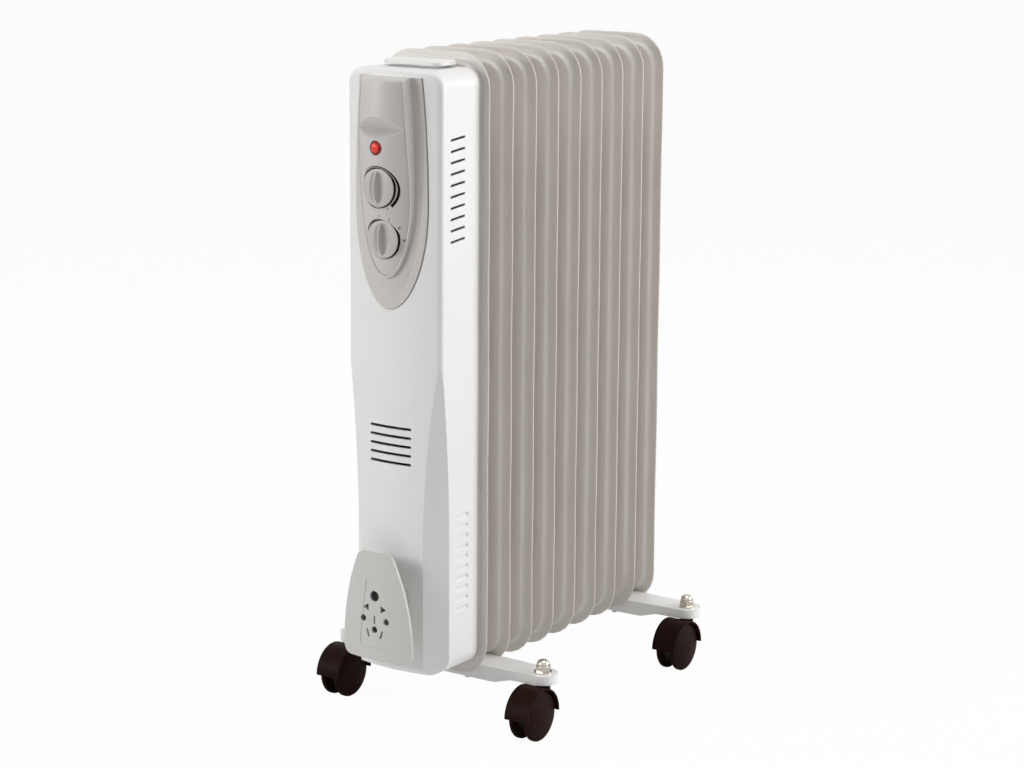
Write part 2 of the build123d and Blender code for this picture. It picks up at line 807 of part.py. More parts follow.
with BuildPart() as cord_gland:
    with BuildSketch(Plane.XY.offset(housing_bottom)):
        with Locations((0, gland_y)):
            Circle(gland_flange_diameter / 2)
    extrude(amount=-gland_flange_height)
    with BuildSketch(Plane.XY.offset(housing_bottom)):
        with Locations((0, gland_y)):
            Circle(gland_diameter / 2)
    extrude(amount=gland_length - gland_flange_height)
    with BuildSketch(Plane.XY.offset(housing_bottom - gland_flange_height)):
        with Locations((0, gland_y)):
            Circle(gland_bore / 2)
    extrude(amount=gland_length, mode=Mode.SUBTRACT)
save(cord_gland, "cord_gland")

# Cord tidy: a bowed plate with plug parking holes on a hub that the cord is wound round
tidy_edge_y = housing_front_y - tidy_standoff
tidy_back_crown_y = tidy_edge_y - tidy_bow


def tidy_slab(thickness):
    """A bowed slab, wider than the tidy plate, whose rear face is the plate's rear face."""
    side = tidy_half_width + tidy_thickness
    side_y = tidy_back_crown_y + arc_drop(side, tidy_half_width, tidy_bow)
    with BuildPart() as slab:
        with BuildSketch(Plane.XY.offset(tidy_bottom - tidy_thickness)):
            with BuildLine():
                ThreePointArc((-side, side_y), (0, tidy_back_crown_y), (side, side_y))
                Line((side, side_y), (side, side_y - thickness))
                ThreePointArc(
                    (side, side_y - thickness),
                    (0, tidy_back_crown_y - thickness),
                    (-side, side_y - thickness),
                )
                Line((-side, side_y - thickness), (-side, side_y))
            make_face()
        extrude(amount=tidy_top - tidy_bottom + 2 * tidy_thickness)
    return slab.part


with BuildPart() as tidy_field:
    with BuildSketch(front_plane(tidy_edge_y)) as field:
        Polygon(
            (-field_half_width, field_bottom),
            (field_half_width, field_bottom),
            (field_top_half_width, field_top),
            (-field_top_half_width, field_top),
            align=None,
        )
        fillet(field.vertices(), field_corner)
    extrude(amount=tidy_standoff)
    add(tidy_slab(tidy_thickness - field_depth), mode=Mode.SUBTRACT)
with BuildPart() as cord_tidy_plate:
    add(tidy_slab(tidy_thickness))
    with BuildSketch(front_plane(tidy_edge_y)) as outline:
        with BuildLine():
            right_side = TangentArc(
                (tidy_half_width, tidy_wide_z), (tidy_top_half_width, tidy_top), tangent=(0, 1)
            )
            left_side = TangentArc(
                (-tidy_half_width, tidy_wide_z), (-tidy_top_half_width, tidy_top), tangent=(0, 1)
            )
            Line(right_side @ 1, left_side @ 1)
            Polyline(
                right_side @ 0,
                (tidy_half_width, tidy_bottom),
                (-tidy_half_width, tidy_bottom),
                left_side @ 0,
            )
        make_face()
        fillet(outline.vertices().group_by(Axis.Y)[0], tidy_corner)
        fillet(outline.vertices().group_by(Axis.Y)[-1], tidy_corner)
        with Locations((0, plug_hole_z)):
            Circle(plug_hole_radius, mode=Mode.SUBTRACT)
        with Locations((-pin_hole_offset, pin_hole_z), (pin_hole_offset, pin_hole_z), (0, earth_hole_z)):
            Circle(pin_hole_radius, mode=Mode.SUBTRACT)
        with Locations((0, pin_hole_z)):
            SlotOverall(slit_length, slit_width, rotation=90, mode=Mode.SUBTRACT)
        for side in (-1, 1):
            with Locations((side * slit_offset, slit_z)):
                SlotOverall(slit_length, slit_width, rotation=90 - side * slit_tilt, mode=Mode.SUBTRACT)
            with Locations((side * arrow_offset, arrow_z)):
                RegularPolygon(arrow_radius, 3, rotation=90 - side * 90, mode=Mode.SUBTRACT)
    extrude(amount=housing_depth, both=True, mode=Mode.INTERSECT)
    add(tidy_field.part, mode=Mode.SUBTRACT)
save(cord_tidy_plate, "cord_tidy_plate")

with BuildPart() as cord_tidy_hub:
    with BuildSketch(front_plane(housing_edge_y)):
        with Locations((0, hub_z)):
            RectangleRounded(hub_width, hub_height, hub_corner)
            RectangleRounded(
                hub_width - 2 * hub_wall,
                hub_height - 2 * hub_wall,
                hub_corner - hub_wall,
                mode=Mode.SUBTRACT,
            )
    extrude(amount=housing_edge_y - tidy_back_crown_y)
    add(housing_outside, mode=Mode.SUBTRACT)
    add(tidy_slab(housing_depth), mode=Mode.SUBTRACT)
save(cord_tidy_hub, "cord_tidy_hub")

# Grip plate on top of the housing, with a shadow gap under its front lip
grip_rear_y = housing_back_y - grip_setback
with BuildPart() as grip_plate:
    with BuildSketch(Plane.XY.offset(housing_top + grip_gap)):
        with Locations((0, grip_rear_y - grip_depth / 2)):
            RectangleRounded(grip_width, grip_depth, grip_corner)
    extrude(amount=grip_thickness)
    chamfer(grip_plate.faces().sort_by(Axis.Z)[-1].edges(), grip_bevel)
    with BuildSketch(Plane.XY.offset(housing_top)):
        with Locations((0, grip_rear_y - (grip_depth - grip_lip) / 2)):
            Rectangle(grip_width - 2 * grip_lip, grip_depth - grip_lip)
    extrude(amount=grip_gap)
save(grip_plate, "grip_plate")

# Feet: pressed channels between the end fins, held by a U-bolt over the lower collector
stem_x = castor_track / 2
leg_x = collector_diameter / 2 + u_bolt_gap + u_bolt_diameter / 2
foot_under = foot_top - foot_sheet
foot_bottom = foot_top - foot_flange
foot_reach = stem_x + foot_end_width
for place, foot_y in foot_ys.items():
    with BuildPart() as foot:
        with BuildSketch(Plane.XY.offset(foot_bottom)) as outer:
            with Locations((0, foot_y)):
                Rectangle(2 * foot_taper_start, foot_width)
            with Locations((-stem_x, foot_y), (stem_x, foot_y)):
                Circle(foot_end_width / 2)
            make_hull()
        extrude(amount=foot_flange)
        with BuildSketch(Plane.XY.offset(foot_bottom)):
            add(outer.sketch)
            offset(amount=-foot_sheet, mode=Mode.REPLACE)
        extrude(amount=foot_flange - foot_sheet, mode=Mode.SUBTRACT)
        with BuildSketch(front_plane(foot_y)):
            for side in (-1, 1):
                with BuildLine():
                    Polyline(
                        (side * foot_arch_start, foot_bottom),
                        (side * foot_arch_end, foot_top - foot_end_flange),
                        (side * foot_reach, foot_top - foot_end_flange),
                        (side * foot_reach, foot_bottom),
                        close=True,
                    )
                make_face()
        extrude(amount=foot_width, both=True, mode=Mode.SUBTRACT)
        with BuildSketch(Plane.XY.offset(foot_under)):
            with Locations((-stem_x, foot_y), (stem_x, foot_y)):
                Circle(stem_diameter / 2 + foot_hole_margin)
            with Locations((-leg_x, foot_y), (leg_x, foot_y)):
                Circle(u_bolt_diameter / 2 + foot_hole_margin)
        extrude(amount=foot_sheet, mode=Mode.SUBTRACT)
    save(foot, f"{place}_foot")
    with BuildPart() as u_bolt:
        leg_end = foot_under - u_bolt_tail
        with BuildLine(front_plane(foot_y)):
            Line((-leg_x, leg_end), (-leg_x, lower_collector_z))
            ThreePointArc(
                (-leg_x, lower_collector_z), (0, lower_collector_z + leg_x), (leg_x, lower_collector_z)
            )
            Line((leg_x, lower_collector_z), (leg_x, leg_end))
        with BuildSketch(Plane.XY.offset(leg_end)):
            with Locations((-leg_x, foot_y)):
                Circle(u_bolt_diameter / 2)
        sweep()
    save(u_bolt, f"{place}_u_bolt")

with BuildPart() as wing_nuts:
    nut_places = [(x, y) for x in (-leg_x, leg_x) for y in foot_ys.values()]
    with BuildSketch(Plane.XY.offset(foot_under)):
        with Locations(*nut_places):
            Circle(wing_hub_diameter / 2)
    extrude(amount=-wing_hub_height)
    for foot_y in foot_ys.values():
        with BuildSketch(front_plane(foot_y)):
            for leg in (-leg_x, leg_x):
                for side in (-1, 1):
                    with BuildLine():
                        Polyline(
                            (leg, foot_under - wing_root_top),
                            (leg + side * wing_span / 2, foot_under - wing_root_top - wing_tip_drop),
                            (leg + side * wing_span / 2, foot_under - wing_height),
                            (leg + side * wing_hub_diameter / 2, foot_under - wing_hub_height),
                            (leg, foot_under - wing_hub_height),
                            close=True,
                        )
                    make_face()
        extrude(amount=wing_thickness / 2, both=True)
    with BuildSketch(Plane.XY.offset(foot_under)):
        with Locations(*nut_places):
            Circle(u_bolt_diameter / 2 + shaft_clearance)
    extrude(amount=-wing_hub_height, mode=Mode.SUBTRACT)
save(wing_nuts, "wing_nuts")

# Castor pieces about their stem's axis, with the wheels trailing to the front
wheel_radius = wheel_diameter / 2
wheel_y = -castor_trail
hood_inner = wheel_radius + hood_gap
hood_outer = hood_inner + hood_wall
wheel_inner_x = castor_width / 2 - wheel_width
hood_web_half = wheel_inner_x - web_play
collar_bottom = foot_under - stem_collar_height
spigot_bottom = collar_bottom - spigot_length
stem_top = foot_top + washer_height + cap_nut_hex_height + cap_nut_dome_height - stem_top_gap

with BuildPart() as stem:
    with BuildSketch(Plane.XY.offset(collar_bottom)):
        Circle(stem_collar_diameter / 2)
    extrude(amount=stem_collar_height)
    with BuildSketch(Plane.XY.offset(foot_under)):
        Circle(stem_diameter / 2)
    extrude(amount=stem_top - foot_under)
    with BuildSketch(Plane.XY.offset(spigot_bottom)):
        Circle(spigot_diameter / 2)
    extrude(amount=spigot_length)

with BuildPart() as hood:
    with BuildSketch(Plane.XY.offset(wheel_radius)):
        Circle(stem_boss_diameter / 2)
    extrude(amount=collar_bottom - stem_boss_gap - wheel_radius)
    with BuildSketch(side_plane(0)):
        with Locations((wheel_y, wheel_radius)):
            Circle(hood_outer)
            Rectangle(2 * hood_outer, hood_outer, align=(Align.CENTER, Align.MAX), mode=Mode.SUBTRACT)
    extrude(amount=castor_width / 2, both=True)
    for side in (-1, 1):
        with BuildSketch(side_plane(side * hood_web_half)):
            with Locations((wheel_y, wheel_radius)):
                Circle(hood_inner)
        extrude(amount=side * castor_width, mode=Mode.SUBTRACT)
    with BuildSketch(side_plane(0)):
        with Locations((wheel_y, wheel_radius)):
            Circle(axle_hub_diameter / 2)
    extrude(amount=wheel_inner_x - hub_play, both=True)
    with BuildSketch(side_plane(0)):
        with Locations((wheel_y, wheel_radius)):
            Circle(axle_diameter / 2 + axle_clearance)
    extrude(amount=castor_width, both=True, mode=Mode.SUBTRACT)
    with BuildSketch(Plane.XY.offset(spigot_bottom - spigot_end_gap)):
        Circle(spigot_diameter / 2 + spigot_clearance)
    extrude(amount=spigot_length + stem_boss_diameter, mode=Mode.SUBTRACT)

axle_half = castor_width / 2 - wheel_dome - axle_end_gap
with BuildPart() as wheel:
    with BuildSketch(front_plane(wheel_y)):
        with BuildLine():
            Polyline(
                (wheel_inner_x, wheel_radius + axle_diameter / 2 + axle_clearance),
                (wheel_inner_x, wheel_diameter - wheel_round),
                (wheel_inner_x + wheel_round, wheel_diameter),
                (castor_width / 2 - wheel_dome, wheel_diameter),
                (castor_width / 2, wheel_diameter - wheel_bevel),
                (castor_width / 2, wheel_radius),
                (axle_half + axle_end_gap, wheel_radius),
                (axle_half + axle_end_gap, wheel_radius + axle_diameter / 2 + axle_clearance),
                close=True,
            )
        make_face()
    revolve(axis=Axis((0, wheel_y, wheel_radius), (1, 0, 0)))

with BuildPart() as axle:
    with BuildSketch(side_plane(0)):
        with Locations((wheel_y, wheel_radius)):
            Circle(axle_diameter / 2)
    extrude(amount=axle_half, both=True)

castor_places = {
    f"{place}_{hand}": (side * stem_x, foot_y, 0)
    for place, foot_y in foot_ys.items()
    for hand, side in (("left", -1), ("right", 1))
}
for castor, spot in castor_places.items():
    for name, source in (("stem", stem), ("hood", hood), ("axle", axle), ("right_wheel", wheel)):
        with BuildPart() as piece:
            with Locations(spot):
                add(source.part)
        save(piece, f"{castor}_castor_{name}")
    with BuildPart() as piece:
        with Locations(spot):
            add(mirror(wheel.part, about=Plane.YZ, mode=Mode.PRIVATE))
    save(piece, f"{castor}_castor_left_wheel")

# Washers and cap nuts that hold the castor stems to the feet
nut_bottom = foot_top + washer_height
with BuildPart() as castor_washers:
    with BuildSketch(Plane.XY.offset(foot_top)):
        with Locations(*castor_places.values()):
            Circle(washer_diameter / 2)
            Circle(stem_diameter / 2 + foot_hole_margin, mode=Mode.SUBTRACT)
    extrude(amount=washer_height)
save(castor_washers, "castor_washers")

with BuildPart() as castor_cap_nuts:
    with BuildSketch(Plane.XY.offset(nut_bottom)):
        with Locations(*castor_places.values()):
            RegularPolygon(cap_nut_across / 2, 6, major_radius=False)
    extrude(amount=cap_nut_hex_height)
    with BuildSketch(Plane.XY.offset(nut_bottom + cap_nut_hex_height)):
        with Locations(*castor_places.values()):
            Circle(cap_nut_across / 2 - cap_nut_step)
    extrude(amount=cap_nut_dome_height)
    fillet(castor_cap_nuts.faces().group_by(Axis.Z)[-1].edges(), cap_nut_dome_round)
    with BuildSketch(Plane.XY.offset(nut_bottom)):
        with Locations(*castor_places.values()):
            Circle(stem_diameter / 2 + shaft_clearance)
    extrude(amount=stem_top + shaft_clearance - nut_bottom, mode=Mode.SUBTRACT)
save(castor_cap_nuts, "castor_cap_nuts")
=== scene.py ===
import json
from math import cos, hypot, pi, radians, sin, sqrt

import bmesh
import bpy
from mathutils import Matrix, Vector
from mathutils.bvhtree import BVHTree

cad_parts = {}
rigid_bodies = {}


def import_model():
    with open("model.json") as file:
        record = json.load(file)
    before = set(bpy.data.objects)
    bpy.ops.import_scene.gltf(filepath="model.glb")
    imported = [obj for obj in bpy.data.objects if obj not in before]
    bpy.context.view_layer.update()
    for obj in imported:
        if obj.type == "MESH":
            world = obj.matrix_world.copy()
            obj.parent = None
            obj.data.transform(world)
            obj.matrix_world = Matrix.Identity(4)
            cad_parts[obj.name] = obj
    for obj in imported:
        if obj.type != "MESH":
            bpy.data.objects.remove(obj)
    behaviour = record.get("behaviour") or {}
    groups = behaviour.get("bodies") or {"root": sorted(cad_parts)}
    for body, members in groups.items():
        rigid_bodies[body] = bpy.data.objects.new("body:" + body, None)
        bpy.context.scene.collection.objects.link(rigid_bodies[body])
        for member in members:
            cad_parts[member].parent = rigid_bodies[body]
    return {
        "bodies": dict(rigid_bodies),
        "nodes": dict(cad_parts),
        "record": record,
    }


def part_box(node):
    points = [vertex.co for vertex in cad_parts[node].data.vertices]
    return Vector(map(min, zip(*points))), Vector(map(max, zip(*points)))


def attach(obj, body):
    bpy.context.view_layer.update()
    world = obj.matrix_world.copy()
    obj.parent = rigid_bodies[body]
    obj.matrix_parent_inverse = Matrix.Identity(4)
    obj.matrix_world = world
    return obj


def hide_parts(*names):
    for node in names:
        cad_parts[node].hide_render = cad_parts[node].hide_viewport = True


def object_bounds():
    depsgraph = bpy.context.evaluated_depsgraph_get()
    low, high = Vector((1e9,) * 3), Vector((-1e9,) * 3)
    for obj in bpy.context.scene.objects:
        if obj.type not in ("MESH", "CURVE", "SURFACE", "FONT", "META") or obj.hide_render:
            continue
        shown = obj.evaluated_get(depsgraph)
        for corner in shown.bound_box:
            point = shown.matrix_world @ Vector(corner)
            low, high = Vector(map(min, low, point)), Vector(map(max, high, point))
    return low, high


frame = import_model()
cad_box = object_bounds()
nodes = frame["nodes"]
scene = bpy.context.scene
scene.view_settings.view_transform = "Standard"
MM = 0.001


def middle(node):
    """The middle of a CAD node's box."""
    low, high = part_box(node)
    return (low + high) / 2


# Places read from the frame: the fins, the panel and its knobs
fin_low, fin_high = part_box("fin_2")
FIN_COUNT = sum(name.startswith("fin_") for name in nodes)
FIN_PITCH = fin_high.y - fin_low.y
FIN_1_Y = middle("fin_2").y - FIN_PITCH
FIN_MIDDLE_Z = middle("fin_2").z
THERMOSTAT_Z = middle("thermostat_knob").z
POWER_Z = middle("power_knob").z

# Camera, fitted to the photograph: its place is given from the foot of the first fin
CAMERA_PLACE = Vector((1.38907, FIN_1_Y - 1.89323, 0.81951))
CAMERA_PAN = 0.60285
CAMERA_TILT = 0.20849
CAMERA_ROLL = 0.00728
FOCAL_LENGTH_PIXELS = 2594.3
PHOTO_WIDTH_PIXELS = 1024
SENSOR_WIDTH = 36.0


def make_camera():
    """The camera at the photograph's place, turned by its pan, tilt and roll."""
    data = bpy.data.cameras.new("camera")
    data.sensor_width = SENSOR_WIDTH
    data.lens = FOCAL_LENGTH_PIXELS * data.sensor_width / PHOTO_WIDTH_PIXELS
    camera = bpy.data.objects.new("camera", data)
    scene.collection.objects.link(camera)
    pan, tilt = CAMERA_PAN, CAMERA_TILT
    forward = Vector((-sin(pan) * cos(tilt), cos(pan) * cos(tilt), -sin(tilt)))
    level = Vector((cos(pan), sin(pan), 0))
    raised = level.cross(forward)
    right = level * cos(CAMERA_ROLL) + raised * sin(CAMERA_ROLL)
    up = raised * cos(CAMERA_ROLL) - level * sin(CAMERA_ROLL)
    turn = Matrix((right, up, -forward)).transposed().to_4x4()
    camera.matrix_world = Matrix.Translation(CAMERA_PLACE) @ turn
    scene.camera = camera


# Light: each soft box has a place and a size in metres and a power in watts. SURROUND is the strength
# with which the white world lights the heater. Where it is seen or mirrored, it has full strength.
SOFT_BOXES = {
    "right_rear_box": ((1.9, 1.6, 0.9), 1.6, 41.0),
    "right_box": ((2.6, 0.45, 0.7), 0.7, 9.0),
    "front_left_box": ((-1.5, -2.3, 1.1), 1.1, 38.0),
    "overhead_box": ((0.2, -0.1, 2.7), 1.8, 33.0),
}
SURROUND = 0.12
AIM = Vector((0, 0, 0.33))
WHITE = (1, 1, 1, 1)

# Floor: a plain sheet. Its glow is the share of plain white that the camera sees on it.
FLOOR_REACH = 14.0
FLOOR_COLOUR = (0.88, 0.88, 0.88, 1)
FLOOR_ROUGHNESS = 0.9
FLOOR_SPECULAR = 0.1
FLOOR_GLOW = 0.965


def make_lights():
    """Soft boxes aimed at the heater, and a world that is white where it is seen."""
    for name, (place, size, watts) in SOFT_BOXES.items():
        data = bpy.data.lights.new(name, "AREA")
        data.size = size
        data.energy = watts
        lamp = bpy.data.objects.new(name, data)
        lamp.location = place
        lamp.rotation_euler = (AIM - Vector(place)).to_track_quat("-Z", "Y").to_euler()
        scene.collection.objects.link(lamp)
    world = bpy.data.worlds.new("surround")
    world.use_nodes = True
    tree = world.node_tree
    background = tree.nodes["Background"]
    path = tree.nodes.new("ShaderNodeLightPath")
    seen = tree.nodes.new("ShaderNodeMath")
    seen.operation = "MAXIMUM"
    mirrored = tree.nodes.new("ShaderNodeMath")
    mirrored.operation = "MAXIMUM"
    strength = tree.nodes.new("ShaderNodeMapRange")
    strength.inputs["To Min"].default_value = SURROUND
    strength.inputs["To Max"].default_value = 1.0
    tree.links.new(path.outputs["Is Camera Ray"], seen.inputs[0])
    tree.links.new(path.outputs["Is Transmission Ray"], seen.inputs[1])
    tree.links.new(seen.outputs[0], mirrored.inputs[0])
    tree.links.new(path.outputs["Is Glossy Ray"], mirrored.inputs[1])
    tree.links.new(mirrored.outputs[0], strength.inputs["Value"])
    tree.links.new(strength.outputs[0], background.inputs["Strength"])
    background.inputs["Color"].default_value = WHITE
    scene.world = world


def make_floor():
    """A plain pale floor, almost white to the camera, that keeps the heater's shadow."""
    mesh = bpy.data.meshes.new("floor")
    far = FLOOR_REACH
    corners = [(-far, -far, 0), (far, -far, 0), (far, far, 0), (-far, far, 0)]
    mesh.from_pydata(corners, [], [(0, 1, 2, 3)])
    floor = bpy.data.objects.new("floor", mesh)
    scene.collection.objects.link(floor)
    material = bpy.data.materials.new("floor")
    material.use_nodes = True
    tree = material.node_tree
    shader = tree.nodes["Principled BSDF"]
    shader.inputs["Base Color"].default_value = FLOOR_COLOUR
    shader.inputs["Roughness"].default_value = FLOOR_ROUGHNESS
    shader.inputs["Specular IOR Level"].default_value = FLOOR_SPECULAR
    glow = tree.nodes.new("ShaderNodeEmission")
    glow.inputs["Color"].default_value = WHITE
    mix = tree.nodes.new("ShaderNodeMixShader")
    path = tree.nodes.new("ShaderNodeLightPath")
    share = tree.nodes.new("ShaderNodeMath")
    share.operation = "MULTIPLY"
    share.inputs[1].default_value = FLOOR_GLOW
    tree.links.new(path.outputs["Is Camera Ray"], share.inputs[0])
    tree.links.new(share.outputs[0], mix.inputs["Fac"])
    tree.links.new(shader.outputs[0], mix.inputs[1])
    tree.links.new(glow.outputs[0], mix.inputs[2])
    tree.links.new(mix.outputs[0], tree.nodes["Material Output"].inputs["Surface"])
    mesh.materials.append(material)


make_camera()
make_lights()
make_floor()

# Noise that all finishes share: broad clouds, in waves per metre, and fine specks mixed into them
CLOUD_SCALE = 9.0
CLOUD_DETAIL = 4.0
SPECK_DETAIL = 2.0
SPECK_SHARE = 0.35
NOISE_LOW, NOISE_HIGH = 0.3, 0.7
EDGE_SAMPLES = 4


def surface(name, colour, tone, rough, grain, relief, edge, stretch=(1, 1, 1), **sockets):
    """A procedural finish: two tones, uneven gloss, a fine relief and softly rounded edges.

    tone is the share by which the colour varies, rough the lowest and highest roughness, and grain
    is in waves per metre. relief and edge are in millimetres. sockets are the shader's own constants.
    """
    material = bpy.data.materials.new(name)
    material.use_nodes = True
    tree = material.node_tree
    shader = tree.nodes["Principled BSDF"]
    for socket, value in sockets.items():
        shader.inputs[socket.replace("_", " ")].default_value = value
    place = tree.nodes.new("ShaderNodeTexCoord")
    mapping = tree.nodes.new("ShaderNodeMapping")
    mapping.inputs["Scale"].default_value = stretch
    tree.links.new(place.outputs["Object"], mapping.inputs["Vector"])
    clouds = tree.nodes.new("ShaderNodeTexNoise")
    clouds.inputs["Scale"].default_value = CLOUD_SCALE
    clouds.inputs["Detail"].default_value = CLOUD_DETAIL
    specks = tree.nodes.new("ShaderNodeTexNoise")
    specks.inputs["Scale"].default_value = grain
    specks.inputs["Detail"].default_value = SPECK_DETAIL
    for noise in (clouds, specks):
        tree.links.new(mapping.outputs["Vector"], noise.inputs["Vector"])
    both = tree.nodes.new("ShaderNodeMix")
    both.inputs["Factor"].default_value = SPECK_SHARE
    tree.links.new(clouds.outputs["Fac"], both.inputs["A"])
    tree.links.new(specks.outputs["Fac"], both.inputs["B"])
    tones = tree.nodes.new("ShaderNodeValToRGB")
    dark, light = tones.color_ramp.elements
    dark.position, light.position = NOISE_LOW, NOISE_HIGH
    dark.color = [part * (1 - tone) for part in colour] + [1]
    light.color = [min(1, part * (1 + tone)) for part in colour] + [1]
    tree.links.new(both.outputs["Result"], tones.inputs["Fac"])
    tree.links.new(tones.outputs["Color"], shader.inputs["Base Color"])
    gloss = tree.nodes.new("ShaderNodeMapRange")
    gloss.inputs["From Min"].default_value = NOISE_LOW
    gloss.inputs["From Max"].default_value = NOISE_HIGH
    gloss.inputs["To Min"].default_value, gloss.inputs["To Max"].default_value = rough
    tree.links.new(clouds.outputs["Fac"], gloss.inputs["Value"])
    tree.links.new(gloss.outputs["Result"], shader.inputs["Roughness"])
    bump = tree.nodes.new("ShaderNodeBump")
    bump.inputs["Strength"].default_value = 1.0
    bump.inputs["Distance"].default_value = relief * MM
    tree.links.new(specks.outputs["Fac"], bump.inputs["Height"])
    if edge:
        rounding = tree.nodes.new("ShaderNodeBevel")
        rounding.samples = EDGE_SAMPLES
        rounding.inputs["Radius"].default_value = edge * MM
        tree.links.new(rounding.outputs["Normal"], bump.inputs["Normal"])
    tree.links.new(bump.outputs["Normal"], shader.inputs["Normal"])
    return material


# Finishes, one for each material slot of the record: colour, tone, roughness, grain, relief and edge
FINISHES = {
    "fin_paint": surface(
        "fin_paint", (0.685, 0.645, 0.605), 0.02, (0.42, 0.5), 420, 0.02, 0, Specular_IOR_Level=0.75
    ),
    "foot_paint": surface("foot_paint", (0.86, 0.86, 0.85), 0.02, (0.28, 0.38), 420, 0.015, 0.8),
    "housing_plastic": surface(
        "housing_plastic", (0.81, 0.805, 0.795), 0.012, (0.36, 0.44), 1500, 0.012, 0.5
    ),
    "panel_plastic": surface("panel_plastic", (0.58, 0.558, 0.54), 0.02, (0.42, 0.52), 1700, 0.02, 0.4),
    "tidy_plastic": surface("tidy_plastic", (0.59, 0.578, 0.562), 0.02, (0.42, 0.52), 1700, 0.02, 0.5),
    "knob_plastic": surface("knob_plastic", (0.51, 0.48, 0.465), 0.02, (0.38, 0.46), 1700, 0.015, 0.5),
    "red_lens": surface("red_lens", (0.26, 0.006, 0.005), 0.05, (0.14, 0.2), 700, 0.004, 0),
    "bright_nut": surface(
        "bright_plating", (0.55, 0.51, 0.45), 0.06, (0.1, 0.18), 600, 0.004, 0.3, Metallic=1.0
    ),
    "steel": surface(
        "zinc_plating", (0.60, 0.60, 0.60), 0.08, (0.28, 0.42), 500, 0.01, 0.2, (1, 1, 6), Metallic=1.0
    ),
    "castor_plastic": surface(
        "black_plastic", (0.0152, 0.0064, 0.0049), 0.12, (0.36, 0.48), 1300, 0.02, 0.4,
        Specular_IOR_Level=0.03,
    ),
    "insulating_plastic": surface(
        "dark_plastic", (0.05, 0.05, 0.055), 0.1, (0.4, 0.55), 1300, 0.02, 0.3
    ),
    "gland_plastic": surface("gland_plastic", (0.04, 0.04, 0.042), 0.1, (0.4, 0.55), 1300, 0.02, 0.3),
    "seal_rubber": surface("soft_rubber", (0.03, 0.028, 0.027), 0.1, (0.7, 0.85), 900, 0.03, 0.3),
}

# The ink of the printed marks, also used for the dark rings of painted shadow round the knobs, and the
# painted glow in the middle of the pilot lens
INK_AND_PAINTED_SHADOW = surface(
    "ink", (0.008, 0.006, 0.006), 0.1, (0.45, 0.55), 2500, 0.004, 0, Specular_IOR_Level=0.05
)
# A brighter red painted on the lens's inner facets as the glow of light through it
LENS_PAINTED_GLOW = surface(
    "lens_painted_glow", (0.85, 0.055, 0.032), 0.1, (0.14, 0.2), 700, 0.004, 0, Specular_IOR_Level=0.3
)
PALE_INK = surface("pale_ink", (0.26, 0.25, 0.245), 0.1, (0.45, 0.55), 2500, 0.004, 0)
for subpart in frame["record"]["subparts"]:
    shown = nodes[subpart["node"]]
    shown.data.materials.clear()
    shown.data.materials.append(FINISHES[subpart["material_slot"]])


def make_piece(name, points, faces, material, place=(0, 0, 0), smooth=True, body="heater"):
    """A mesh of points in metres, with its faces turned outwards, that rides on a body."""
    mesh = bpy.data.meshes.new(name)
    mesh.from_pydata(points, [], faces)
    form = bmesh.new()
    form.from_mesh(mesh)
    bmesh.ops.recalc_face_normals(form, faces=form.faces)
    form.to_mesh(mesh)
    form.free()
    mesh.polygons.foreach_set("use_smooth", [smooth] * len(mesh.polygons))
    mesh.materials.append(material)
    piece = bpy.data.objects.new(name, mesh)
    piece.location = place
    scene.collection.objects.link(piece)
    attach(piece, body)
    return piece


def add_turned(points, faces, profile, sides, place, axis):
    """Adds a closed turned form: profile is (radius, distance along axis) from end to end."""
    first = len(points)
    across = axis.orthogonal().normalized()
    up = axis.cross(across)
    for radius, along in profile:
        for side in range(sides):
            angle = 2 * pi * side / sides
            spoke = across * cos(angle) + up * sin(angle)
            points.append(place + axis * along + spoke * radius)
    for ring in range(len(profile) - 1):
        for side in range(sides):
            after = (side + 1) % sides
            low = first + ring * sides
            high = low + sides
            faces.append((low + side, low + after, high + after, high + side))
    last = first + (len(profile) - 1) * sides
    faces.append(tuple(range(first, first + sides)))
    faces.append(tuple(range(last, last + sides)))


# Fins: pressed sheets with a rolled rim, a soft step up to the oil channels and two long webs between
# them. Lengths are in millimetres from the middle of a fin, and the rim's wave shifts by so many radians
# from each fin to the next.
FIN_HALF_WIDTH = fin_high.x / MM
FIN_HALF_HEIGHT = (fin_high.z - FIN_MIDDLE_Z) / MM
FIN_CORNER = 32.0
CHANNEL_TOP = (FIN_1_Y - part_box("fin_1")[0].y) / MM
RIM_HALF = 0.8
RIM_ROUND = ((0.0, 0.0), (0.1, 0.45), (0.4, 0.72), (0.9, 0.8))
RIM_WAVE = 0.35
RIM_WAVE_LENGTH = 26.0
RIM_WAVE_SHIFT = 2
STEP_INSETS = (4.0, 7.8, 8.4, 8.9, 9.3, 9.7, 10.2, 10.8)
STEP_START = STEP_INSETS[1]
STEP_END = STEP_INSETS[-1]
FIELD_INSET = 18.0
FIELD_CORNER = FIN_CORNER - FIELD_INSET
FIELD_HALF_WIDTH = FIN_HALF_WIDTH - FIELD_INSET
FIELD_HALF_HEIGHT = FIN_HALF_HEIGHT - FIELD_INSET
FIELD_COLUMNS = (0, 3, 6.2, 8.1, 10, 11.9, 13.8, 17, 20.2, 22.1, 24, 25.9, 27.8)
FIELD_COLUMNS += (32, 34.5, 36.5, 38.5, 40.5, 42)
FIELD_ROWS = (0, 30, 60, 90, 120, 150, 166, 170, 172, 174, 176, 178, 182)
FIELD_ROWS += (190, 195, 199, 203, 208, 220, 240, 258)
CORNER_STEPS = 6
WEB_OFFSET = 17.0
WEB_HALF_WIDTH = 3.2
WEB_SLOPE = 7.6
WEB_HALF_LENGTH = 204.0
DIMPLE_X = 38.0
DIMPLE_Z = 174.0
DIMPLE_RADIUS = 4.5
DIMPLE_DEPTH = 0.6
NECK_RADIUS = 22.0
NECK_INSET = 55.0
NECK_Z = FIN_HALF_HEIGHT - NECK_INSET
NECK_SINK = 0.5
NECK_FILLET = 3.5
NECK_FILLET_STEPS = 4
